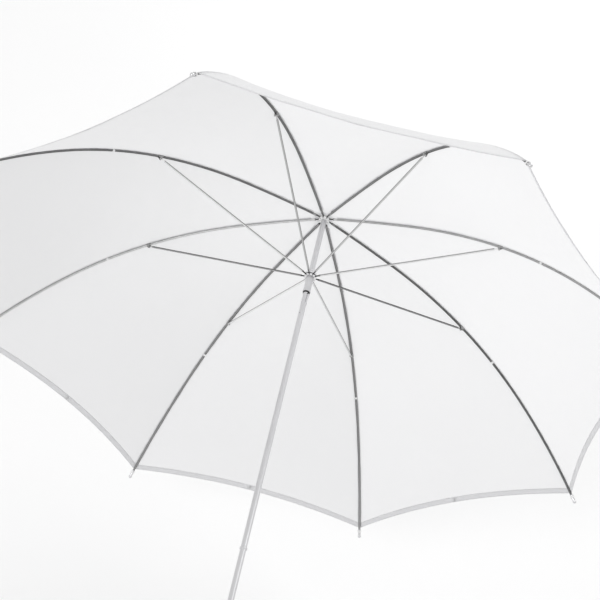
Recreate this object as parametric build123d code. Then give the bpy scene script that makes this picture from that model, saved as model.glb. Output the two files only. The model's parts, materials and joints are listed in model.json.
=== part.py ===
"""Umbrella reflector: eight folding ribs, eight stretchers, a runner on a plain shaft.

Millimetres. The shaft lies along Y, with the crown at +Y and the free end at -Y, so
the white bowl opens towards -Y. The origin is on the shaft's axis, in the middle of
the free stretch that a lamp's umbrella hole or a stand bracket grips.
"""

import os
from math import atan2, cos, degrees, hypot, radians, sin

from build123d import *

# shaft
SHAFT_R = 4.0
SHAFT_WALL = 0.7
GRIP_LENGTH = 154.0  # plain stretch from the free end to the runner stop
STOP_LENGTH = 4.0
STOP_RISE = 0.9
HINGE_Y = 623.0  # plane of the crown hinges
SHAFT_TOP = 11.0  # how far the tube runs past the crown hinges
PLUG_DEPTH = 8.0
PLUG_FACE = 2.0

# hinge rings at the crown and on the runner
RIB_COUNT = 8
RIB_PHASE = 22.5  # degrees from +X towards +Z
RING_R = 6.6  # radius of both wires that the hinges hang on
WIRE_R = 0.65
WIRE_GAP = 0.05  # round the wire in its groove
EYE_HOLE_R = 0.75
EYE_R = 1.6
TAB_THICK = 1.2
SLOT_WIDTH = 1.8
SLOT_FLOOR_R = 4.85
SLOT_DEPTH = 1.9  # from a hinge's centre to the slot's closed end
CHANNEL_START = 6.5  # from a hinge's centre to the end of the pressed channel

# ribs: a pressed channel that bends through four tangent arcs
RIB_WIDTH = 2.8
RIB_DEPTH = 1.8
RIB_WALL = 0.5
RIB_HEADING = 4.7  # degrees, leaving the crown
RIB_ARCS = ((125.0, 4.1), (130.0, 13.1), (150.0, 16.5), (160.0, 12.8))  # length, turn

# rib joints and stretchers
JOINT_STATION = 262.0  # along the rib from its hinge
JOINT_DROP = 2.8  # from the rib's middle line to the joint's rivet
STRETCHER_WIDTH = 2.2
STRETCHER_DEPTH = 1.8
STRETCHER_WALL = 0.45
RIVET_R = 0.8
RIVET_HEAD = 0.7
CLIP_LENGTH = 7.0
CLIP_WALL = 0.55
CLIP_GAP = 0.05
FOLD_LIMIT = 57.0  # degrees that a rib swings

# crown
NOTCH_R = 7.9
NOTCH_ABOVE = 6.0
NOTCH_BELOW = 3.0
CAP_R = 6.4
CAP_LENGTH = 16.0
CAP_FLANGE_R = 9.4
CAP_FLANGE = 1.2
PATCH_R = 14.0
PATCH_SLOPE = 0.3

# runner
HEAD_R = 8.5
HEAD_ABOVE = 4.5
HEAD_BELOW = 4.2
RECESS_R = 6.9  # sunk face round the sleeve
RECESS_DEPTH = 1.6
SLEEVE_R = 5.2
SLEEVE_LENGTH = 25.0
LIP_R = 5.7  # rolled lip at the sleeve's end
LIP_LENGTH = 2.5
BUSH_R = 4.8  # black bush in the sleeve's end
BUSH_DEPTH = 4.0
BUSH_SHOWS = 1.8
RUNNING_GAP = 0.1
FIT_GAP = 0.05  # round pins and plugs that turn or slide
PRESS_GAP = 0.02  # round parts that are pressed together

# catch spring in the shaft
CATCH_AZIMUTH = 45.0
CATCH_WIDTH = 2.8
CATCH_GAP = 3.4  # from the runner to the step
CATCH_STEP = 2.2  # how far it stands out of the tube
CATCH_LAND = 1.2  # flat top behind the step
CATCH_RAMP = 18.0
CATCH_BLADE = 0.6
CATCH_SLACK = 0.3  # all round the catch in its slot
CATCH_MOUTH = 3.2  # slot left open in front of the step
CATCH_PIVOT_BACK = 34.0  # from the step to the cross pin
CATCH_PIN_R = 0.6
CATCH_PIVOT_R = 0.6  # cross pin's distance from the axis
CATCH_EYE_R = 1.2
BLIND_LENGTH = 6.0  # black plug that closes the tube in front of the catch

# canopy
CLOTH = 0.8
CLOTH_OFFSET = 2.1  # from a rib's middle line to the cloth
CLOTH_START_R = 12.0
CLOTH_END_BACK = 9.0  # from the rib's end to the hem

# rib tips
TIP_R = 2.2
TIP_BALL_R = 2.7
TIP_BALL_X = 4.2  # the ball's centre, past the rib's end
TIP_GRIP = 7.0

HALF_STEP = 180.0 / RIB_COUNT


def rib_point(station, offset=0.0):
    """Radius, drop below the crown hinges and heading at a distance along a rib.

    offset moves the point off the rib's middle line, towards the crown."""
    radius, drop, heading = RING_R, 0.0, radians(RIB_HEADING)
    left = station
    for length, turn in RIB_ARCS:
        bend_r = length / radians(turn)
        step = min(left, length)
        end = heading + step / bend_r
        radius += bend_r * (sin(end) - sin(heading))
        drop += bend_r * (cos(heading) - cos(end))
        heading = end
        left -= step
        if left <= 0:
            break
    return radius + offset * sin(heading), drop - offset * cos(heading), heading


RIB_LENGTH = sum(length for length, _ in RIB_ARCS)
JOINT_R, JOINT_Z, JOINT_HEADING = rib_point(JOINT_STATION, -JOINT_DROP)
ARM = hypot(JOINT_R - RING_R, JOINT_Z)  # hinge to joint, and the stretcher's length
ARM_ANGLE = degrees(atan2(JOINT_Z, JOINT_R - RING_R))
RUNNER_Z = 2 * JOINT_Z
FOLDED_RUNNER_Z = 2 * ARM * sin(radians(ARM_ANGLE + FOLD_LIMIT))
SLEEVE_END_Z = RUNNER_Z + HEAD_BELOW + SLEEVE_LENGTH
BUSH_END_Z = SLEEVE_END_Z + BUSH_SHOWS
CATCH_STEP_Z = BUSH_END_Z + CATCH_GAP
CATCH_PIVOT_Z = CATCH_STEP_Z + CATCH_PIVOT_BACK
FREE_END_Z = HINGE_Y + GRIP_LENGTH / 2
STOP_Z = FREE_END_Z - GRIP_LENGTH - STOP_LENGTH


def write(name, solid):
    """One STEP file per sub-part."""
    export_step(solid, f"parts/{name}.step")


def rib_azimuth(index):
    return RIB_PHASE + 360.0 * index / RIB_COUNT


def radial_plane(azimuth):
    """x is the radius, y the drop from the crown hinges, z the tangent."""
    a = radians(azimuth)
    return Plane(
        origin=(0, HINGE_Y, 0), x_dir=(cos(a), 0, sin(a)), z_dir=(sin(a), 0, -cos(a))
    )


AXIS_PLANE = Plane(origin=(0, HINGE_Y, 0), x_dir=(1, 0, 0), z_dir=(0, -1, 0))


def place(plane, solid):
    return plane.location * solid


def ring(inner, outer, low, high):
    """A tube about the shaft's axis between two drops."""
    tube = Pos(0, 0, low) * Cylinder(outer, high - low, align=(Align.CENTER, Align.CENTER, Align.MIN))
    if inner > 0:
        tube -= Pos(0, 0, low - 1) * Cylinder(
            inner, high - low + 2, align=(Align.CENTER, Align.CENTER, Align.MIN)
        )
    return tube


def slab(face, low, high):
    """A flat face in the local XY plane made solid between two heights."""
    return Pos(0, 0, low) * extrude(face, high - low, dir=(0, 0, 1))


def outline(points):
    return make_face(Polyline(*points, close=True))


def local(radius, drop, heading):
    """A frame on a rib: x along the rib, y away from the crown."""
    return Location((radius, drop, 0), (0, 0, degrees(heading)))


def rib_edges(offset, start, end):
    """The arcs of a line that runs along a rib at an offset, between two stations."""
    marks = [start]
    done = 0.0
    for length, _ in RIB_ARCS:
        done += length
        if start < done < end:
            marks.append(done)
    marks.append(end)
    return [
        ThreePointArc(*(rib_point(s, offset)[:2] for s in (a, (a + b) / 2, b)))
        for a, b in zip(marks[:-1], marks[1:])
    ]


def strip(low, high):
    """The flat face between two chains of edges that start and end side by side."""
    ends = [Line(low[0] @ 0, high[0] @ 0), Line(low[-1] @ 1, high[-1] @ 1)]
    return make_face(low + high + ends)


def rib_strip(inner, outer, start, end):
    return strip(rib_edges(inner, start, end), rib_edges(outer, start, end))


def eye_tab(height, reach):
    """Flat tab with a hinge eye at the origin, running out along x."""
    plate = outline(
        [(0, -height / 2), (reach, -height / 2), (reach, height / 2), (0, height / 2)]
    )
    return slab(plate + Circle(EYE_R), -TAB_THICK / 2, TAB_THICK / 2)


def bore(radius):
    return Cylinder(radius, 3 * RIB_WIDTH)


# ------------------------------------------------------------ ribs and their joints


def rib():
    """Pressed channel, open towards the shaft, with a flat eye at the crown end."""
    half, depth = RIB_WIDTH / 2, RIB_DEPTH / 2
    web = slab(rib_strip(depth - RIB_WALL, depth, CHANNEL_START, RIB_LENGTH), -half, half)
    side = rib_strip(-depth, depth, CHANNEL_START, RIB_LENGTH)
    walls = slab(side, -half, RIB_WALL - half) + slab(side, half - RIB_WALL, half)
    tab = local(*rib_point(0)) * eye_tab(RIB_DEPTH - RIB_WALL, 2 * CHANNEL_START)
    eye = local(*rib_point(0)) * bore(EYE_HOLE_R)
    return web + walls + tab - eye


def rib_tip():
    """Turned tip with a ball end, pushed over the end of the channel."""
    neck = TIP_BALL_X - (TIP_BALL_R**2 - TIP_R**2) ** 0.5
    end = TIP_BALL_X + TIP_BALL_R
    profile = make_face(
        [
            Line((-TIP_GRIP, 0), (-TIP_GRIP, TIP_R)),
            Line((-TIP_GRIP, TIP_R), (neck, TIP_R)),
            ThreePointArc((neck, TIP_R), (TIP_BALL_X, TIP_BALL_R), (end, 0)),
            Line((end, 0), (-TIP_GRIP, 0)),
        ]
    )
    gap = 2 * CLIP_GAP
    pocket = Pos(-TIP_GRIP / 2 - 0.5, 0, 0) * Box(
        TIP_GRIP + 1, RIB_DEPTH + 2 * gap, RIB_WIDTH + 2 * gap
    )
    turned = Rot(45, 0, 0) * revolve(profile, Axis.X)
    return local(*rib_point(RIB_LENGTH)) * (turned - pocket)


def rib_clip():
    """Saddle crimped over the rib, with two ears for the stretcher's rivet."""
    seat = RIB_DEPTH / 2 + CLIP_GAP
    inside = RIB_WIDTH / 2 + CLIP_GAP
    top = -seat - CLIP_WALL
    ear = outline(
        [
            (-CLIP_LENGTH / 2, top),
            (CLIP_LENGTH / 2, top),
            (CLIP_LENGTH / 2, seat),
            (EYE_R, JOINT_DROP),
            (-EYE_R, JOINT_DROP),
            (-CLIP_LENGTH / 2, seat),
        ]
    ) + Pos(0, JOINT_DROP) * Circle(EYE_R + 0.2)
    ears = slab(ear, inside, inside + CLIP_WALL) + slab(ear, -inside - CLIP_WALL, -inside)
    back = Pos(0, top + CLIP_WALL / 2, 0) * Box(
        CLIP_LENGTH, CLIP_WALL, 2 * (inside + CLIP_WALL)
    )
    hole = Pos(0, JOINT_DROP, 0) * bore(RIVET_R + PRESS_GAP)
    return local(*rib_point(JOINT_STATION)) * (ears + back - hole)


def rib_rivet():
    """Round-headed rivet across the clip's ears."""
    face = RIB_WIDTH / 2 + CLIP_GAP + CLIP_WALL
    shank = Cylinder(RIVET_R, 2 * face)
    cap = Cylinder(2 * RIVET_R, RIVET_HEAD)
    cap = Pos(0, 0, face + RIVET_HEAD / 2) * fillet(
        cap.edges().group_by(Axis.Z)[-1], RIVET_HEAD * 0.7
    )
    heads = cap + Rot(180, 0, 0) * cap
    return local(*rib_point(JOINT_STATION)) * Pos(0, JOINT_DROP, 0) * (shank + heads)


def stretcher():
    """Straight channel between the runner's wire and a rib's rivet, an eye at each end."""
    half, depth = STRETCHER_WIDTH / 2, STRETCHER_DEPTH / 2
    middle = (CHANNEL_START, ARM - CHANNEL_START)
    box_length = middle[1] - middle[0]
    shell = Pos(ARM / 2, 0, 0) * Box(box_length, STRETCHER_DEPTH, STRETCHER_WIDTH)
    trough = Pos(ARM / 2, -STRETCHER_WALL, 0) * Box(
        box_length + 2, STRETCHER_DEPTH, 2 * (half - STRETCHER_WALL)
    )
    tab = eye_tab(STRETCHER_DEPTH - STRETCHER_WALL, 2 * CHANNEL_START)
    far = Pos(ARM, 0, 0) * Rot(0, 0, 180) * tab
    bar = shell - trough + tab + far
    bar -= bore(EYE_HOLE_R)
    bar -= Pos(ARM, 0, 0) * bore(RIVET_R + FIT_GAP)
    angle = degrees(atan2(JOINT_Z - RUNNER_Z, JOINT_R - RING_R))
    return Location((RING_R, RUNNER_Z, 0), (0, 0, angle)) * bar


# ------------------------------------------------------------------------ canopy


def canopy_gore():
    """Thin cloth centred on one rib, straight across to the middle of each panel."""
    start = (CLOTH_START_R - RING_R) / cos(radians(RIB_HEADING))
    end = RIB_LENGTH - CLOTH_END_BACK
    squeeze = cos(radians(HALF_STEP))

    def edges(offset):
        """A rib's line seen along the straight threads between two ribs."""
        marks = [start]
        done = 0.0
        for length, _ in RIB_ARCS:
            done += length
            if start < done < end:
                marks += [(marks[-1] + done) / 2, done]
        marks += [(marks[-1] + end) / 2, end]
        points = [rib_point(s, offset) for s in marks]
        points = [(r * squeeze, z) for r, z, _ in points]
        return [
            ThreePointArc(*points[i : i + 3]) for i in range(0, len(points) - 2, 2)
        ]

    face = strip(edges(CLOTH_OFFSET), edges(CLOTH_OFFSET + CLOTH))
    width = rib_point(end)[0] * sin(radians(HALF_STEP))
    halves = []
    for side in (1, -1):
        turn = Rot(0, side * HALF_STEP, 0)
        sheet = turn * slab(face, min(0, side * width * 1.2), max(0, side * width * 1.2))
        reach = 2 * RIB_LENGTH
        keep = Pos(reach / 2, 0, -side * reach / 2) * Box(reach, 2 * reach, reach)
        halves.append(sheet & keep)
    return halves[0] + halves[1]


# ------------------------------------------------------------------------- crown


def toothed(outer, low, high, slot_low, slot_high, wire_z):
    """Ring with a slot for every hinge tab and a groove for the wire they hang on."""
    part = ring(SHAFT_R, outer, low, high)
    reach = outer + 1
    groove = WIRE_R + WIRE_GAP
    part -= ring(RING_R - groove, reach, wire_z - groove, wire_z + groove)
    for index in range(RIB_COUNT):
        cut = Pos((SLOT_FLOOR_R + reach) / 2, 0, (slot_low + slot_high) / 2) * Box(
            reach - SLOT_FLOOR_R, SLOT_WIDTH, slot_high - slot_low
        )
        part -= Rot(0, 0, rib_azimuth(index)) * cut
    return part


def crown_notch():
    return toothed(
        NOTCH_R, -NOTCH_ABOVE, NOTCH_BELOW, -SLOT_DEPTH, NOTCH_BELOW + 1, 0.0
    )


def wire_loop(z):
    return Pos(0, 0, z) * Torus(RING_R, WIRE_R)


def crown_patch():
    """Shallow cone of doubled cloth between the crown and its cap."""
    bore_r, seat_r = SHAFT_R + RUNNING_GAP, NOTCH_R + 0.2
    under = -NOTCH_ABOVE
    rim = under + (PATCH_R - seat_r) * PATCH_SLOPE
    face = outline(
        [
            (bore_r, under),
            (seat_r, under),
            (PATCH_R, rim),
            (PATCH_R, rim - CLOTH),
            (seat_r, under - CLOTH),
            (bore_r, under - CLOTH),
        ]
    )
    return revolve_about_z(face)


def revolve_about_z(face):
    """Turn a face drawn as radius and drop about the shaft's axis."""
    upright = Plane(origin=(0, 0, 0), x_dir=(1, 0, 0), z_dir=(0, -1, 0))
    return revolve(upright.location * face, Axis.Z)


def crown_cap():
    """Hollow domed cap over the shaft's end, holding the patch down."""
    low = -NOTCH_ABOVE - CLOTH
    upward = (Align.CENTER, Align.CENTER, Align.MAX)
    body = Cylinder(CAP_R, CAP_LENGTH, align=upward)
    body = fillet(body.edges().group_by(Axis.Z)[0], CAP_R * 0.55)
    flange = Cylinder(CAP_FLANGE_R, CAP_FLANGE, align=upward)
    socket = ring(0, SHAFT_R + FIT_GAP, -SHAFT_TOP - FIT_GAP, low + 1)
    return Pos(0, 0, low) * (body + flange) - socket


# ------------------------------------------------------------------------- shaft


def catch_slot():
    """Opening in the tube for the catch spring."""
    low = CATCH_STEP_Z - CATCH_MOUTH
    high = CATCH_STEP_Z + CATCH_RAMP + 3 * CATCH_SLACK
    return Pos(SHAFT_R, 0, (low + high) / 2) * Box(
        SHAFT_R, CATCH_WIDTH + 2 * CATCH_SLACK, high - low
    )


def cross_pin(radius, length):
    return Pos(CATCH_PIVOT_R, 0, CATCH_PIVOT_Z) * Rot(90, 0, 0) * Cylinder(radius, length)


def shaft():
    """Thin tube with a swaged bead that stops the runner, and the catch's slot."""
    tube = ring(SHAFT_R - SHAFT_WALL, SHAFT_R, -SHAFT_TOP, FREE_END_Z)
    bead = ring(SHAFT_R - SHAFT_WALL / 2, SHAFT_R + STOP_RISE, STOP_Z, STOP_Z + STOP_LENGTH)
    rims = bead.edges().filter_by(GeomType.CIRCLE).sort_by(lambda e: e.radius)[-2:]
    bead = chamfer(rims, STOP_RISE * 0.95)
    turn = Rot(0, 0, CATCH_AZIMUTH)
    return tube + bead - turn * catch_slot() - turn * cross_pin(CATCH_PIN_R, 4 * SHAFT_R)


def catch_pin():
    """Pin across the tube that the catch spring rocks on, flush at both ends."""
    inside = ring(0, SHAFT_R, CATCH_PIVOT_Z - SHAFT_R, CATCH_PIVOT_Z + SHAFT_R)
    return Rot(0, 0, CATCH_AZIMUTH) * (cross_pin(CATCH_PIN_R, 2 * SHAFT_R) & inside)


def catch_spring():
    """Bent strip: an eye on the cross pin, and a wedge that stands out of the slot."""
    step, ramp_end = CATCH_STEP_Z, CATCH_STEP_Z + CATCH_RAMP
    inner = SHAFT_R - SHAFT_WALL - CATCH_SLACK
    outer = SHAFT_R + CATCH_STEP
    profile = outline(
        [
            (inner - CATCH_BLADE, step),
            (outer, step),
            (outer, step + CATCH_LAND),
            (inner, ramp_end),
            (CATCH_PIVOT_R + CATCH_EYE_R - 0.1, CATCH_PIVOT_Z),
            (CATCH_PIVOT_R, CATCH_PIVOT_Z),
            (inner - CATCH_BLADE, ramp_end),
        ]
    )
    centre = Pos(CATCH_PIVOT_R, CATCH_PIVOT_Z)
    blade = profile + centre * Circle(CATCH_EYE_R) - centre * Circle(CATCH_PIN_R + FIT_GAP)
    upright = Plane(origin=(0, 0, 0), x_dir=(1, 0, 0), z_dir=(0, -1, 0))
    flat = slab(blade, -CATCH_WIDTH / 2, CATCH_WIDTH / 2)
    return Rot(0, 0, CATCH_AZIMUTH) * (upright.location * flat)


def slot_plug():
    """Black plug in the tube, seen through the open mouth of the catch's slot."""
    end = CATCH_STEP_Z - 2 * CATCH_SLACK
    return ring(0, SHAFT_R - SHAFT_WALL - PRESS_GAP, end - BLIND_LENGTH, end)


def end_plug():
    """Plug in the tube's free end, a little slimmer than the tube."""
    plug = ring(0, SHAFT_R - SHAFT_WALL - FIT_GAP, FREE_END_Z - PLUG_DEPTH, FREE_END_Z)
    face = ring(0, SHAFT_R - 0.2, FREE_END_Z, FREE_END_Z + PLUG_FACE)
    face = fillet(face.edges().group_by(Axis.Z)[-1], PLUG_FACE * 0.6)
    return plug + face


# ------------------------------------------------------------------------ runner


def runner_head():
    """Toothed ring that the stretchers' inner eyes hang on."""
    head = toothed(
        HEAD_R,
        RUNNER_Z - HEAD_ABOVE,
        RUNNER_Z + HEAD_BELOW,
        RUNNER_Z - HEAD_ABOVE - 1,
        RUNNER_Z + SLOT_DEPTH,
        RUNNER_Z,
    )
    low = RUNNER_Z + HEAD_BELOW
    recess = ring(0, RECESS_R, low - RECESS_DEPTH, low + 1)
    return head - recess - ring(0, SHAFT_R + RUNNING_GAP, RUNNER_Z - HEAD_R, low)


def runner_sleeve():
    """Plain tube with a rolled lip, bored out at its end for the bush."""
    low = RUNNER_Z + HEAD_BELOW - RECESS_DEPTH
    tube = ring(SHAFT_R + RUNNING_GAP, SLEEVE_R, low, SLEEVE_END_Z)
    lip = ring(SLEEVE_R - 0.2, LIP_R, SLEEVE_END_Z - LIP_LENGTH, SLEEVE_END_Z)
    lip = fillet(lip.edges().filter_by(GeomType.CIRCLE).sort_by(lambda e: e.radius)[-2:], 0.4)
    seat = ring(0, BUSH_R + PRESS_GAP, SLEEVE_END_Z - BUSH_DEPTH, SLEEVE_END_Z + 1)
    return tube + lip - seat


def runner_bush():
    """Black bush that guides the runner and stands a little out of the sleeve."""
    bush = ring(SHAFT_R + RUNNING_GAP, BUSH_R, SLEEVE_END_Z - BUSH_DEPTH, BUSH_END_Z)
    outer = bush.edges().filter_by(GeomType.CIRCLE).group_by(Axis.Z)[-1]
    return fillet(outer.sort_by(lambda e: e.radius)[-1:], 0.35)


# ------------------------------------------------------------------------- write


def main():
    os.makedirs("parts", exist_ok=True)
    on_axis = {
        "shaft": shaft(),
        "crown_notch": crown_notch(),
        "crown_wire": wire_loop(0),
        "crown_patch": crown_patch(),
        "crown_cap": crown_cap(),
        "catch_pin": catch_pin(),
        "catch_spring": catch_spring(),
        "shaft_plugs": slot_plug() + end_plug(),
        "runner_head": runner_head(),
        "runner_sleeve": runner_sleeve(),
        "runner_bush": runner_bush(),
        "runner_wire": wire_loop(RUNNER_Z),
    }
    for name, solid in on_axis.items():
        write(name, place(AXIS_PLANE, solid))
    per_rib = {
        "rib": rib(),
        "rib_tip": rib_tip(),
        "rib_clip": rib_clip(),
        "rib_rivet": rib_rivet(),
        "stretcher": stretcher(),
        "canopy_gore": canopy_gore(),
    }
    for index in range(RIB_COUNT):
        plane = radial_plane(rib_azimuth(index))
        for name, solid in per_rib.items():
            write(f"{name}_{index + 1}", place(plane, solid))
    print(f"joint {JOINT_R:.3f}, {JOINT_Z:.3f}; runner {RUNNER_Z:.2f} to {FOLDED_RUNNER_Z:.2f}")
    print(f"arm {ARM:.3f}; arm angle {ARM_ANGLE:.3f}; sleeve end {SLEEVE_END_Z:.2f}; stop {STOP_Z:.1f}")
    print(f"tip {rib_point(RIB_LENGTH)}")


main()
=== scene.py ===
import json
from math import atan2, cos, pi, radians, sin

import bmesh
import bpy
from mathutils import Matrix, Vector, noise

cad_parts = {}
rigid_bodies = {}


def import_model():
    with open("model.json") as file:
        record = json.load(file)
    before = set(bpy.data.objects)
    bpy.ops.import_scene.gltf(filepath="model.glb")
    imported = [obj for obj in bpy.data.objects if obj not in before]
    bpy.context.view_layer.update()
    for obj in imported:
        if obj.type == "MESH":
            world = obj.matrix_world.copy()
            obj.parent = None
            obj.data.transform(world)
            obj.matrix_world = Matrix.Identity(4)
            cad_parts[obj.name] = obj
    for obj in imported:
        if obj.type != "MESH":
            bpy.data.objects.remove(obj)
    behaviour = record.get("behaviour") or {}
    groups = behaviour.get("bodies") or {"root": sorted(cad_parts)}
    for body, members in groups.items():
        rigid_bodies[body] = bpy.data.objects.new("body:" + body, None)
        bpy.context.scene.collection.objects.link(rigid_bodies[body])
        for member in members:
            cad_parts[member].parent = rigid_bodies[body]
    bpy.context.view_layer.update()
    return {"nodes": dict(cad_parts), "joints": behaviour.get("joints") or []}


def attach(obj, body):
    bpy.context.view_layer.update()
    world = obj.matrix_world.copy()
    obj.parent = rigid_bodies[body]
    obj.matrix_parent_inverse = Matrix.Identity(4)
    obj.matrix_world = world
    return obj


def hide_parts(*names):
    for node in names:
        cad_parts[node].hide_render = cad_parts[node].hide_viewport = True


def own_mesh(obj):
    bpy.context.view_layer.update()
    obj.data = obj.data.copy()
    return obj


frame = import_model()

MM = 0.001

# ---------------------------------------------------------------- sizes, in millimetres

RIB_COUNT = 8
RIB_HEADING = 4.7  # degrees, as a rib leaves the crown
RIB_ARCS = ((125.0, 4.1), (130.0, 13.1), (150.0, 16.5), (160.0, 12.8))  # length, turn
RIB_LENGTH = sum(length for length, _ in RIB_ARCS)
RIB_HALF_WIDTH = 1.4
RIB_HALF_DEPTH = 0.9
EDGE_SIDE = 1.0  # from a bar's middle plane to its folded edges
EYE_REACH = 13.0  # from the shaft's axis to where a bar's colour stops being near black
RIB_TIP_R = 2.2
HALF_STEP = radians(180.0 / RIB_COUNT)

CLOTH_OFFSET = 2.1  # from a rib's middle line to the cloth
CLOTH_START_R = 8.3
CLOTH_END_BACK = 9.0  # from a rib's end to the hem's corner
CLOTH_SAG = 0.03  # how far a panel's middle is pulled in, of the panel's width
CLOTH_GRID = (150, 45)
CENTRE_STEP = 0.55  # of the cloth's columns at its rib, to an even spacing
SLACK_FADE = 60.0  # the length over which the slackness sets in
SLACK_PAST_HEM = 30.0
SLACK_WAVES = ((1.6, 0.011), (0.5, 0.05))  # height, frequency
PUCKER = 0.35  # small waves that the seam draws in the cloth
PUCKER_REACH = 26.0
PUCKER_START = 6.0

STRIP_GAP = 0.12  # between the cloth and a strip sewn on it
HEM_SCALLOP = 17.0
HEM_WIDTH = 8.0
HEM_THICKNESS = 0.3
SEAM_HALF_WIDTH = 3.0
SEAM_THICKNESS = 0.22
SEAM_START = 14.0
SEAM_END_BACK = 3.0
SEAM_WIDEST = 0.5  # of the half panel, where the panel is narrow

STITCH_RISE = 0.1  # of the stitches' middle above the cloth
ROW_START = 22.0
ROW_END_BACK = 6.0
ROW_STEP = 8.0
ROW_SIDE = 2.6
HEM_ROW_IN = 1.5  # from the hem's inner edge to its stitches
HEM_ROW_SHARE = 0.985

PATCH_BORE_R = 4.2
PATCH_SEAT_R = 8.1
PATCH_R = 13.7
PATCH_SLOPE = 0.3
PATCH_THICKNESS = 0.6
PATCH_GAP = 0.05  # between the crown and the patch
PATCH_HEM = 1.6  # from the patch's edge to its stitches
NOTCH_ABOVE = 6.0  # from the hinges to the crown's top

THREAD_R = 0.28
TIE_STATION = 331.0
TIE_DRIFT = 6.0  # how far a tie may be from its station
TIE_WRAPS = 6
TIE_ABOVE_CLOTH = 0.35
TIP_TIE_BACK = 5.5

joints = {joint["name"]: joint for joint in frame["joints"]}
folds = [joints["fold" if k == 1 else f"rib_{k}_hinge"] for k in range(1, RIB_COUNT + 1)]
HINGE_Y = folds[0]["pos_m"][1] / MM
RING_R = (folds[0]["pos_m"][0] ** 2 + folds[0]["pos_m"][2] ** 2) ** 0.5 / MM


# ------------------------------------------------------------------ the ribs' own line


def rib_line(station, offset=0.0):
    """Radius, drop below the crown hinges and heading along a rib, in millimetres."""
    radius, drop, heading = RING_R, 0.0, radians(RIB_HEADING)
    left = station
    for length, turn in RIB_ARCS:
        bend = length / radians(turn)
        step = min(left, length)
        end = heading + step / bend
        radius += bend * (sin(end) - sin(heading))
        drop += bend * (cos(heading) - cos(end))
        heading = end
        left -= step
        if left <= 0:
            break
    return radius + offset * sin(heading), drop - offset * cos(heading), heading


def rib_axes(k):
    """Outward and sideways directions of rib k, in the row frame."""
    x, _, z = folds[k - 1]["pos_m"]
    a = atan2(z, x)
    return Vector((cos(a), 0, sin(a))), Vector((-sin(a), 0, cos(a)))


def at_rib(k, radius, side, drop):
    """A point in metres, from a radius, a sideways distance and a drop in millimetres."""
    out, across = rib_axes(k)
    point = out * radius + across * side + Vector((0, HINGE_Y - drop, 0))
    return point * MM


def on_rib(k, station, side, offset):
    radius, drop, _ = rib_line(station, offset)
    return at_rib(k, radius, side, drop)


def ease(x):
    x = min(1.0, max(0.0, x))
    return x * x * (3 - 2 * x)


# ------------------------------------------------------------------------ shader maths


class Signal:
    """A socket that Python arithmetic can build on, one Math node for each operator."""

    def __init__(self, finish, socket):
        self.finish, self.socket = finish, socket

    def _math(self, operation, a, b=0.0):
        return self.finish.node("ShaderNodeMath", {"operation": operation}, {0: a, 1: b})

    def __add__(self, other):
        return self._math("ADD", self, other)

    def __mul__(self, other):
        return self._math("MULTIPLY", self, other)

    def __sub__(self, other):
        return self._math("SUBTRACT", self, other)

    def __rsub__(self, other):
        return self._math("SUBTRACT", other, self)

    __radd__ = __add__
    __rmul__ = __mul__

    def sine(self):
        return self._math("SINE", self)

    def size(self):
        return self._math("ABSOLUTE", self)

    def limited(self):
        return self.finish.node("ShaderNodeClamp", {}, {"Value": self})


class Finish:
    """A material whose surface is one Principled shader."""

    def __init__(self, name, **constants):
        self.material = bpy.data.materials.new(name)
        self.material.use_nodes = True
        self.tree = self.material.node_tree
        self.tree.nodes.clear()
        self.shader = self.tree.nodes.new("ShaderNodeBsdfPrincipled")
        self.out = self.tree.nodes.new("ShaderNodeOutputMaterial")
        self.tree.links.new(self.shader.outputs[0], self.out.inputs["Surface"])
        for socket, value in constants.items():
            self.shader.inputs[socket.replace("_", " ")].default_value = value

    def node(self, kind, settings, inputs, output=0):
        made = self.tree.nodes.new(kind)
        for name, value in settings.items():
            setattr(made, name, value)
        for name, value in inputs.items():
            self.feed(made.inputs[name], value)
        return Signal(self, made.outputs[output])

    def feed(self, socket, value):
        if isinstance(value, Signal):
            self.tree.links.new(value.socket, socket)
        else:
            socket.default_value = value

    def set(self, name, value):
        self.feed(self.shader.inputs[name], value)

    def places(self, scale=(1, 1, 1)):
        """Object coordinates, stretched."""
        where = self.node("ShaderNodeTexCoord", {}, {}, "Object")
        return self.node("ShaderNodeMapping", {}, {"Vector": where, "Scale": scale})

    def split(self, vector):
        """A vector's three numbers."""
        parts = self.node("ShaderNodeSeparateXYZ", {}, {"Vector": vector}).socket.node
        return [Signal(self, part) for part in parts.outputs]

    def noise(self, where, scale, detail):
        return self.node(
            "ShaderNodeTexNoise", {}, {"Vector": where, "Scale": scale, "Detail": detail}
        )

    def blend(self, factor, low, high):
        """Colour that runs from low to high."""
        a, b = [c if isinstance(c, Signal) else (*c, 1) for c in (low, high)]
        inputs = {"Factor": factor, 6: a, 7: b}
        return self.node("ShaderNodeMix", {"data_type": "RGBA"}, inputs, 2)

    def bump(self, height, distance):
        """Relief that is distance high, in metres."""
        inputs = {"Height": height, "Distance": distance}
        self.set("Normal", self.node("ShaderNodeBump", {}, inputs))


# ------------------------------------------------------------------------- finishes

WEAVE_PITCH = 0.0009  # metres
CREASE_SHADE_END = 0.3  # metres of cloth from the crown, over which the painted crease shade dies out
SHADE_EDGE_SHARPNESS = 3000.0  # of the painted shade at a channel's folded edges, a metre
EYE_SHARPNESS = 20000.0  # of the change from near black to plating near the shaft, a square metre
EYE_BLACK = (0.03, 0.03, 0.03)


def grey(tone):
    return (tone,) * 3


def drawn_metal(name, dark, light, roughness, stretch):
    """Plated or drawn metal: fine lines along the piece, and faint cloudy wear."""
    metal = Finish(name, Metallic=1.0)
    lines = metal.noise(metal.places(stretch), 1.0, 2.0)
    clouds = metal.noise(metal.places(), 18.0, 4.0)
    metal.set("Base Color", metal.blend(clouds * 0.6 + lines * 0.4, dark, light))
    metal.set("Roughness", roughness + (clouds - 0.5) * 0.16)
    metal.bump(lines, 0.00001)
    return metal.material


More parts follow.
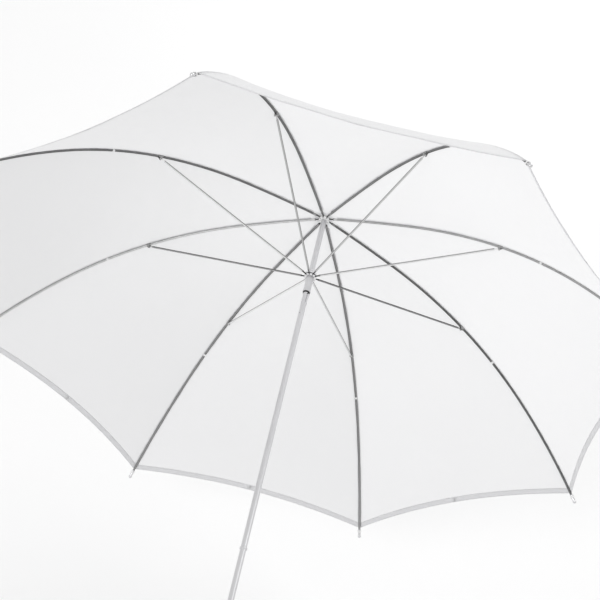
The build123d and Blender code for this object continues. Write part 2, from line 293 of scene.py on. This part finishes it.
def polished(name, colour, roughness):
    """Chromed part with a few hairline rubs."""
    chrome = Finish(name, Metallic=1.0)
    rubs = chrome.noise(chrome.places((900, 120, 900)), 1.0, 2.0)
    dull = chrome.noise(chrome.places(), 260.0, 3.0)
    edge = tuple(c * 0.88 for c in colour)
    chrome.set("Base Color", chrome.blend(dull, edge, colour))
    chrome.set("Roughness", roughness + dull * 0.1)
    chrome.bump(rubs, 0.000004)
    return chrome.material


def moulded(name, dark, light, roughness):
    """Moulded plastic with a very fine orange peel."""
    plastic = Finish(name)
    peel = plastic.noise(plastic.places(), 900.0, 2.0)
    cloud = plastic.noise(plastic.places(), 60.0, 3.0)
    plastic.set("Base Color", plastic.blend(cloud, dark, light))
    plastic.set("Roughness", roughness + cloud * 0.12)
    plastic.bump(peel, 0.00001)
    return plastic.material


def nylon(name, dark, light, glow):
    """White woven nylon that lets light through, with painted shade of creases near the crown;
    its own UV map is in metres.
    """
    cloth = Finish(name)
    uv = cloth.node("ShaderNodeUVMap", {"uv_map": "cloth"}, {})
    warp, weft, _ = cloth.split(uv)
    turns = 2 * pi / WEAVE_PITCH
    weave = (warp * turns).sine() * (weft * turns).sine()
    cloud = cloth.noise(cloth.places(), 9.0, 4.0)
    slub = cloth.noise(cloth.places((30, 30, 30)), 12.0, 3.0)
    # painted shade of creases: streaks along the cloth near the crown, fading out away from it
    along = cloth.node("ShaderNodeMapping", {}, {"Vector": uv, "Scale": (150, 7, 1)})
    painted_crease_shade = (cloth.noise(along, 1.0, 2.0) - 0.5) * ((CREASE_SHADE_END - weft) * 5.0).limited()
    cloth.set("Base Color", cloth.blend(cloud * 0.7 + slub * 0.3 + painted_crease_shade * 0.9, dark, light))
    cloth.set("Roughness", 0.62 + cloud * 0.16)
    cloth.shader.inputs["Sheen Weight"].default_value = 0.15
    cloth.bump(weave * 0.3 + slub, 0.00006)
    back = cloth.tree.nodes.new("ShaderNodeBsdfTranslucent")
    back.inputs["Color"].default_value = (*light, 1)
    mixed = cloth.tree.nodes.new("ShaderNodeMixShader")
    mixed.inputs[0].default_value = glow
    cloth.tree.links.new(cloth.shader.outputs[0], mixed.inputs[1])
    cloth.tree.links.new(back.outputs[0], mixed.inputs[2])
    cloth.tree.links.new(mixed.outputs[0], cloth.out.inputs["Surface"])
    return cloth.material


def spun_thread(name, dark, light):
    """Twisted sewing thread."""
    thread = Finish(name)
    twist = thread.noise(thread.places((700, 700, 2400)), 1.0, 2.0)
    thread.set("Base Color", thread.blend(twist, dark, light))
    thread.set("Roughness", 0.7 + twist * 0.2)
    thread.bump(twist, 0.00003)
    return thread.material


def pressed_steel(name, tone, across):
    """Plated channel with painted light: a painted highlight along its floor and painted shade
    on its folded edges; near black close to the shaft's axis.
    """
    steel = Finish(name, Metallic=1.0)
    x, _, z = steel.split(steel.places())
    side = (x * across.x + z * across.z).size()
    # painted highlight along the channel's floor and painted shade on its folded edges, mixed
    # with a little real grain
    floor = ((EDGE_SIDE * MM - side) * SHADE_EDGE_SHARPNESS).limited()
    grain = steel.noise(steel.places((260, 260, 260)), 1.0, 2.0)
    plating_and_painted_light = steel.blend(floor * 0.75 + grain * 0.25, grey(tone * 0.62), grey(tone * 1.9))
    # a bar's colour is near black within EYE_REACH of the shaft's axis
    outside = ((x * x + z * z - EYE_REACH**2 * MM * MM) * EYE_SHARPNESS).limited()
    steel.set("Base Color", steel.blend(outside, EYE_BLACK, plating_and_painted_light))
    steel.set("Roughness", 0.3 + grain * 0.12)
    steel.bump(grain, 0.00001)
    return steel.material


SHAFT_METAL = drawn_metal(
    "shaft_metal", (0.64, 0.64, 0.65), (0.76, 0.76, 0.77), 0.3, (900, 14, 900)
)
CHROME = polished("runner_chrome", (0.82, 0.82, 0.83), 0.06)
BLACK_WIRE = drawn_metal("black_wire", grey(0.02), grey(0.06), 0.4, (400, 400, 400))
CLIP_STEEL = drawn_metal("clip_steel", grey(0.3), grey(0.46), 0.34, (300, 300, 300))
TIP_METAL = polished("tip_metal", (0.74, 0.74, 0.75), 0.16)
SLEEVE_WHITE = moulded("sleeve_satin", (0.56, 0.56, 0.57), (0.66, 0.66, 0.67), 0.32)
CROWN_WHITE = moulded("crown_white", grey(0.84), grey(0.9), 0.22)
PLUG_BLACK = moulded("plug_black", grey(0.004), grey(0.01), 0.5)
CLOTH = nylon("white_nylon", (0.83, 0.83, 0.84), (0.89, 0.89, 0.895), 0.6)
THREAD = spun_thread("white_thread", grey(0.8), grey(0.92))

NODE_FINISH = {
    "shaft": SHAFT_METAL,
    "crown_notch": CROWN_WHITE,
    "crown_cap": CROWN_WHITE,
    "crown_wire": BLACK_WIRE,
    "runner_wire": BLACK_WIRE,
    "catch_spring": SHAFT_METAL,
    "catch_pin": BLACK_WIRE,
    "shaft_plugs": PLUG_BLACK,
    "runner_head": CHROME,
    "runner_bush": PLUG_BLACK,
    "runner_sleeve": SLEEVE_WHITE,
    "rib_clip": CLIP_STEEL,
    "rib_rivet": CLIP_STEEL,
    "rib_tip": TIP_METAL,
    "canopy_gore": CLOTH,
    "crown_patch": CLOTH,
}

BAR_REFLECTION_TONES = {  # painted reflection: one tone for each bar, from the first to the eighth, lighter or darker by what each bar reflects
    "rib": (0.58, 0.31, 0.25, 0.32, 0.68, 0.27, 0.23, 0.26),
    "stretcher": (0.48, 0.36, 0.30, 0.48, 0.26, 0.56, 0.45, 0.19),
}


def finish_nodes():
    """A finish on every node; each bar's tone is a painted reflection, differing from bar to
    bar.
    """
    for name, node in frame["nodes"].items():
        base, _, number = name.rpartition("_")
        if base in BAR_REFLECTION_TONES:
            k = int(number)
            paint = pressed_steel(name + "_steel", BAR_REFLECTION_TONES[base][k - 1], rib_axes(k)[1])
        else:
            paint = NODE_FINISH[base if number.isdigit() else name]
        node.data.materials.clear()
        node.data.materials.append(paint)


# ---------------------------------------------------------------------------- meshes


def mesh_piece(name, points, faces, material, uvs=None, smooth=True):
    mesh = bpy.data.meshes.new(name)
    mesh.from_pydata(points, [], faces)
    if uvs:
        layer = mesh.uv_layers.new(name="cloth")
        for loop in mesh.loops:
            layer.data[loop.index].uv = uvs[loop.vertex_index]
    for polygon in mesh.polygons:
        polygon.use_smooth = smooth
    mesh.materials.append(material)
    mesh.update()
    piece = bpy.data.objects.new(name, mesh)
    bpy.context.scene.collection.objects.link(piece)
    return piece


def grid_faces(rows, columns):
    faces = []
    for r in range(rows - 1):
        for c in range(columns - 1):
            a, b = r * columns + c, r * columns + c + 1
            faces.append((a, b, b + columns, a + columns))
    return faces


def outward(piece):
    """Turn a closed piece's faces outwards."""
    work = bmesh.new()
    work.from_mesh(piece.data)
    bmesh.ops.recalc_face_normals(work, faces=work.faces)
    work.to_mesh(piece.data)
    work.free()
    return piece


def soft_on_rib(piece, k):
    """Let cloth ride on its rib, on a mesh of its own."""
    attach(piece, f"rib_{k}")
    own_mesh(piece)


# ---------------------------------------------------------------------------- canopy

CLOTH_START = (CLOTH_START_R - RING_R) / cos(radians(RIB_HEADING))
CLOTH_END = RIB_LENGTH - CLOTH_END_BACK


def half_panel(station):
    """From a rib's line to the middle of the panel beside it, in millimetres."""
    return rib_line(station)[0] * sin(HALF_STEP)


def cloth_uv(share, station):
    return share * half_panel(station) * MM, station * MM


def hem_station(share):
    """The hem's distance along the ribs: it curves in between two ribs."""
    return CLOTH_END - HEM_SCALLOP * (1 - (1 - abs(share)) ** 2)


def cloth_point(k, share, station, lift=0.0):
    """A point of the cloth: share is 0 on rib k and 1 or -1 in the middle of a panel."""
    radius, drop, heading = rib_line(station, CLOTH_OFFSET + lift)
    half = radius * sin(HALF_STEP)
    side = abs(share) * half
    hand = 1 if share >= 0 else -1
    out = radius - side * sin(HALF_STEP)
    across = hand * side * cos(HALF_STEP)
    bow = 1 - (1 - abs(share)) ** 2
    pull = 2 * half * CLOTH_SAG * bow
    fade = ease(station / SLACK_FADE)
    fade *= ease((CLOTH_END + SLACK_PAST_HEM - station) / SLACK_FADE)
    base = at_rib(k, out, across, drop) / MM
    ripple = sin(station * 0.36 + 2.0 * sin(station * 0.021))
    pucker = PUCKER * (1 - ease(side / PUCKER_REACH)) * ripple
    soft = sum(height * noise.noise(base * rate) for height, rate in SLACK_WAVES)
    pull -= fade * (soft * bow + pucker * ease(side / PUCKER_START))
    run, rise = cos(heading) * cos(HALF_STEP), sin(heading)
    pull /= (run * run + rise * rise) ** 0.5
    out -= pull * rise * cos(HALF_STEP)
    across -= hand * pull * rise * sin(HALF_STEP)
    return at_rib(k, out, across, drop + pull * run)


def canopy_cloth(k):
    """The cloth over one rib, from the middle of one panel to the middle of the next."""
    rows, columns = CLOTH_GRID
    points, uvs = [], []
    for r in range(rows):
        v = r / (rows - 1)
        for c in range(columns):
            share = 2 * c / (columns - 1) - 1
            share *= CENTRE_STEP + (1 - CENTRE_STEP) * abs(share)
            station = CLOTH_START + (hem_station(share) - CLOTH_START) * v
            points.append(cloth_point(k, share, station))
            uvs.append(cloth_uv(share, station))
    return mesh_piece(f"canopy_cloth_{k}", points, grid_faces(rows, columns), CLOTH, uvs)


def cloth_strip(name, k, edges, thickness, steps):
    """A doubled strip on the inside of the cloth.

    edges gives the strip's two sides as (share, station) for a place from 0 to 1."""
    columns = 5
    points, uvs = [], []
    for layer in (-STRIP_GAP, -STRIP_GAP - thickness):
        for r in range(steps):
            near, far = edges(r / (steps - 1))
            for c in range(columns):
                t = c / (columns - 1)
                share = near[0] + (far[0] - near[0]) * t
                station = near[1] + (far[1] - near[1]) * t
                points.append(cloth_point(k, share, station, layer))
                uvs.append(cloth_uv(share, station))
    size = steps * columns
    faces = grid_faces(steps, columns)
    faces += [tuple(i + size for i in face[::-1]) for face in faces]
    rim = [r * columns for r in range(steps)]
    rim += [(steps - 1) * columns + c for c in range(1, columns)]
    rim += [r * columns + columns - 1 for r in range(steps - 2, -1, -1)]
    rim += list(range(columns - 2, 0, -1))
    for a, b in zip(rim, rim[1:] + rim[:1]):
        faces.append((a, b, b + size, a + size))
    return outward(mesh_piece(name, points, faces, CLOTH, uvs))


def seam_allowance(k):
    """The two turned edges of the panels, sewn together under the rib's line."""

    def edges(t):
        station = SEAM_START + (CLOTH_END - SEAM_END_BACK - SEAM_START) * t
        ruffle = 0.35 * sin(station * 0.11) + 0.2 * sin(station * 0.37)
        share = min(SEAM_WIDEST, (SEAM_HALF_WIDTH + ruffle) / half_panel(station))
        return (-share, station), (share, station)

    return cloth_strip(f"seam_allowance_{k}", k, edges, SEAM_THICKNESS, 110)


def hem(k):
    """The turned hem along the cloth's outer edge."""

    def edges(t):
        share = 2 * t - 1
        end = hem_station(share)
        return (share, end - HEM_WIDTH), (share, end)

    return cloth_strip(f"hem_{k}", k, edges, HEM_THICKNESS, 49)


# ---------------------------------------------------------------- threads and stitches


def guide_curve(name, lines, cyclic=False):
    curve = bpy.data.curves.new(name, "CURVE")
    curve.dimensions = "3D"
    for line in lines:
        spline = curve.splines.new("POLY")
        spline.points.add(len(line) - 1)
        for point, place in zip(spline.points, line):
            point.co = (*place, 1)
        spline.use_cyclic_u = cyclic
    guide = bpy.data.objects.new(name, curve)
    bpy.context.scene.collection.objects.link(guide)
    return guide


class Tree:
    """A Geometry Nodes tree with named number inputs."""

    def __init__(self, name, **sizes):
        self.group = bpy.data.node_groups.new(name, "GeometryNodeTree")
        face = self.group.interface
        face.new_socket("Geometry", in_out="INPUT", socket_type="NodeSocketGeometry")
        face.new_socket("Geometry", in_out="OUTPUT", socket_type="NodeSocketGeometry")
        self.ids = {}
        for size, value in sizes.items():
            socket = face.new_socket(size, in_out="INPUT", socket_type="NodeSocketFloat")
            socket.default_value = value
            self.ids[size] = socket.identifier
        self.input = self.group.nodes.new("NodeGroupInput")
        self.output = self.group.nodes.new("NodeGroupOutput")

    def node(self, kind, settings=None, **inputs):
        made = self.group.nodes.new(kind)
        for name, value in (settings or {}).items():
            setattr(made, name, value)
        for name, value in inputs.items():
            socket = made.inputs[name.replace("_", " ")]
            if isinstance(value, bpy.types.NodeSocket):
                self.group.links.new(value, socket)
            else:
                socket.default_value = value
        return made

    def finish(self, geometry, material):
        real = self.node("GeometryNodeRealizeInstances", Geometry=geometry)
        smooth = self.node("GeometryNodeSetShadeSmooth", Geometry=real.outputs[0])
        painted = self.node(
            "GeometryNodeSetMaterial", Geometry=smooth.outputs[0], Material=material
        )
        self.group.links.new(painted.outputs[0], self.output.inputs[0])

    def apply(self, guide, name, **sizes):
        """The tree's result on a guide, as a plain mesh piece."""
        modifier = guide.modifiers.new("threads", "NODES")
        modifier.node_group = self.group
        for size, value in sizes.items():
            modifier[self.ids[size]] = value
        bpy.context.view_layer.update()
        depsgraph = bpy.context.evaluated_depsgraph_get()
        mesh = bpy.data.meshes.new_from_object(guide.evaluated_get(depsgraph))
        mesh.name = name
        piece = bpy.data.objects.new(name, mesh)
        bpy.context.scene.collection.objects.link(piece)
        curve = guide.data
        bpy.data.objects.remove(guide)
        bpy.data.curves.remove(curve)
        return piece


def stitch_tree():
    """Short rounded stitches, end to end along every guide."""
    tree = Tree("stitches", Pitch=0.0028, Length=0.0021, Radius=0.00025)
    size = tree.input.outputs
    points = tree.node(
        "GeometryNodeResampleCurve",
        {"mode": "LENGTH"},
        Curve=size["Geometry"],
        Length=size["Pitch"],
    )
    bead = tree.node("GeometryNodeMeshUVSphere", Segments=6, Rings=4, Radius=1.0)
    stretch = tree.node("ShaderNodeCombineXYZ", X=size["Radius"], Y=size["Radius"])
    half = tree.node("ShaderNodeMath", {"operation": "MULTIPLY"})
    tree.group.links.new(size["Length"], half.inputs[0])
    half.inputs[1].default_value = 0.5
    tree.group.links.new(half.outputs[0], stretch.inputs["Z"])
    tangent = tree.node("GeometryNodeInputTangent")
    turn = tree.node(
        "FunctionNodeAlignRotationToVector", {"axis": "Z"}, Vector=tangent.outputs[0]
    )
    laid = tree.node(
        "GeometryNodeInstanceOnPoints",
        Points=points.outputs[0],
        Instance=bead.outputs[0],
        Rotation=turn.outputs[0],
        Scale=stretch.outputs[0],
    )
    tree.finish(laid.outputs[0], THREAD)
    return tree


def thread_tree():
    """Round thread along every guide, a little uneven as hand ties are."""
    tree = Tree("thread", Radius=THREAD_R * MM, Wander=0.00012)
    size = tree.input.outputs
    finer = tree.node(
        "GeometryNodeResampleCurve", {"mode": "LENGTH"}, Curve=size["Geometry"], Length=0.0007
    )
    rough = tree.node("ShaderNodeTexNoise", Scale=420.0, Detail=1.0)
    centred = tree.node("ShaderNodeVectorMath", {"operation": "SUBTRACT"})
    tree.group.links.new(rough.outputs["Color"], centred.inputs[0])
    centred.inputs[1].default_value = (0.5, 0.5, 0.5)
    scaled = tree.node("ShaderNodeVectorMath", {"operation": "SCALE"})
    tree.group.links.new(centred.outputs[0], scaled.inputs[0])
    tree.group.links.new(size["Wander"], scaled.inputs["Scale"])
    moved = tree.node(
        "GeometryNodeSetPosition", Geometry=finer.outputs[0], Offset=scaled.outputs[0]
    )
    ring = tree.node("GeometryNodeCurvePrimitiveCircle", Resolution=6, Radius=size["Radius"])
    tube = tree.node(
        "GeometryNodeCurveToMesh",
        Curve=moved.outputs[0],
        Profile_Curve=ring.outputs[0],
        Fill_Caps=True,
    )
    tree.finish(tube.outputs[0], THREAD)
    return tree


def sewn_lines(k):
    """Two rows beside the rib's line and one along the hem."""
    lines = []
    for side in (-1, 1):
        row = []
        station = ROW_START
        while station < CLOTH_END - ROW_END_BACK:
            share = side * ROW_SIDE / half_panel(station)
            row.append(cloth_point(k, share, station, STITCH_RISE))
            station += ROW_STEP
        lines.append(row)
    row, steps = [], 40
    for step in range(steps + 1):
        share = (2 * step / steps - 1) * HEM_ROW_SHARE
        station = hem_station(share) - HEM_WIDTH + HEM_ROW_IN
        row.append(cloth_point(k, share, station, STITCH_RISE))
    lines.append(row)
    return lines


def squared(x):
    """A sine or cosine, flattened so that a circle becomes a rounded square."""
    return (1 if x >= 0 else -1) * abs(x) ** 0.6


def wrap(k, station, half_width, low, high):
    """One turn of thread round a rib, in millimetres from its middle line."""
    loop, steps = [], 20
    middle, reach = (low + high) / 2, (high - low) / 2
    for step in range(steps):
        a = 2 * pi * step / steps
        side = half_width * squared(cos(a))
        offset = middle + reach * squared(sin(a))
        loop.append(on_rib(k, station + THREAD_R * sin(a / 2), side, offset))
    return loop


def tie_lines(k):
    """The tie that holds the seam to the rib, and the one that holds it to the tip."""
    width, under = RIB_HALF_WIDTH + THREAD_R + 0.1, RIB_HALF_DEPTH + THREAD_R + 0.05
    reach = RIB_TIP_R + THREAD_R + 0.05
    loops = []
    for turn in range(TIE_WRAPS):
        step = turn * 2 * THREAD_R
        place = TIE_STATION + step + TIE_DRIFT * sin(1.7 * (k - 6))
        loops.append(wrap(k, place, width, -under, CLOTH_OFFSET + TIE_ABOVE_CLOTH))
        loops.append(wrap(k, RIB_LENGTH - TIP_TIE_BACK + step, reach, -reach, reach + 0.2))
    return loops


# ----------------------------------------------------------------------------- crown


def patch_drop(radius, lift):
    """How far below the crown hinges the patch lies; it is flat on the crown's top."""
    return PATCH_SLOPE * max(0.0, radius - PATCH_SEAT_R) - NOTCH_ABOVE - lift


def crown_patch():
    """Round patch of doubled cloth over the crown."""
    rows, columns = 9, 96
    points, uvs = [], []
    for layer in (0, 1):
        for r in range(rows):
            radius = PATCH_BORE_R + (PATCH_R - PATCH_BORE_R) * r / (rows - 1)
            loose = max(0.0, radius - PATCH_SEAT_R) / (PATCH_R - PATCH_SEAT_R)
            for c in range(columns):
                a = 2 * pi * c / columns
                ripple = (0.12 * sin(8 * a + 0.6) + 0.05 * sin(19 * a)) * loose
                drop = patch_drop(radius, PATCH_GAP + PATCH_THICKNESS * layer) + ripple
                place = Vector((radius * cos(a), HINGE_Y - drop, radius * sin(a)))
                points.append(place * MM)
                uvs.append((radius * cos(a) * MM, radius * sin(a) * MM))
    faces = []
    size = rows * columns
    for c in range(columns):
        d = (c + 1) % columns
        for r in range(0, size - columns, columns):
            faces.append((r + c, r + d, r + d + columns, r + c + columns))
            faces.append(tuple(i + size for i in faces[-1][::-1]))
        for r in (0, size - columns):
            faces.append((r + c, r + d, r + d + size, r + c + size))
    return outward(mesh_piece("crown_patch_cloth", points, faces, CLOTH, uvs))


def patch_stitches(tree):
    radius, ring, steps = PATCH_R - PATCH_HEM, [], 72
    y = HINGE_Y - patch_drop(radius, PATCH_GAP + PATCH_THICKNESS + STITCH_RISE)
    for step in range(steps):
        a = 2 * pi * step / steps
        ring.append(Vector((radius * cos(a), y, radius * sin(a))) * MM)
    guide = guide_curve("patch_guide", [ring], cyclic=True)
    return tree.apply(guide, "crown_patch_stitches")


# ------------------------------------------------------------------- putting together


def dress_canopy():
    stitches, threads = stitch_tree(), thread_tree()
    for k in range(1, RIB_COUNT + 1):
        cloth = canopy_cloth(k)
        seam = seam_allowance(k)
        edge = hem(k)
        sewing = stitches.apply(guide_curve(f"sewing_guide_{k}", sewn_lines(k)), f"stitches_{k}")
        for piece in (cloth, seam, edge, sewing):
            soft_on_rib(piece, k)
        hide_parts(f"canopy_gore_{k}")
        ties = threads.apply(
            guide_curve(f"tie_guide_{k}", tie_lines(k), cyclic=True), f"thread_ties_{k}"
        )
        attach(ties, f"rib_{k}")
        width = 2 * half_panel(CLOTH_END) * MM
        length = (CLOTH_END - CLOTH_START) * MM
    patch = crown_patch()
    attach(patch, "shaft")
    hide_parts("crown_patch")
    ring = patch_stitches(stitches)
    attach(ring, "shaft")


# ------------------------------------------------------------------- floor and light


def pale_floor():
    size, drop = 90.0, -0.62
    points = [(-size, -size, drop), (size, -size, drop), (size, size, drop), (-size, size, drop)]
    paint = Finish("pale_floor", Roughness=0.9)
    tint = paint.noise(paint.places(), 2.0, 3.0)
    paint.set("Base Color", paint.blend(tint, grey(0.9), grey(0.93)))
    floor = mesh_piece("floor", points, [(0, 1, 2, 3)], paint.material, smooth=False)


def soft_light():
    world = bpy.data.worlds.new("studio")
    bpy.context.scene.world = world
    world.use_nodes = True
    back = world.node_tree.nodes["Background"]
    back.inputs["Color"].default_value = (1.0, 1.0, 1.0, 1)
    back.inputs["Strength"].default_value = 0.82
    for name, place, size, power in (
        ("key", (-1.6, -1.6, 2.6), 1.6, 24.0),
        ("back", (1.2, 2.4, 1.5), 2.4, 26.0),
    ):
        lamp = bpy.data.lights.new(name, "AREA")
        lamp.size, lamp.energy = size, power
        light = bpy.data.objects.new(name, lamp)
        light.location = place
        aim = Vector((0, 0.5, 0)) - Vector(place)
        light.rotation_euler = aim.to_track_quat("-Z", "Y").to_euler()
        bpy.context.scene.collection.objects.link(light)


# ---------------------------------------------------------------------------- camera


def camera():
    target = Vector((-0.0061, 0.4696, -0.0002))
    distance, azimuth, elevation, roll = 1.9706, radians(-2.01), radians(53.27), radians(16.44)
    flat = cos(elevation)
    away = Vector((flat * sin(azimuth), -flat * cos(azimuth), sin(elevation)))
    lens = bpy.data.cameras.new("camera")
    lens.lens = 84.85
    lens.sensor_width = 36.0
    eye = bpy.data.objects.new("camera", lens)
    look = (-away).to_track_quat("-Z", "Y").to_matrix().to_4x4()
    eye.matrix_world = (
        Matrix.Translation(target + away * distance) @ look @ Matrix.Rotation(roll, 4, "Z")
    )
    bpy.context.scene.collection.objects.link(eye)
    bpy.context.scene.camera = eye


finish_nodes()
dress_canopy()
pale_floor()
soft_light()
camera()
bpy.context.scene.view_settings.view_transform = "Standard"
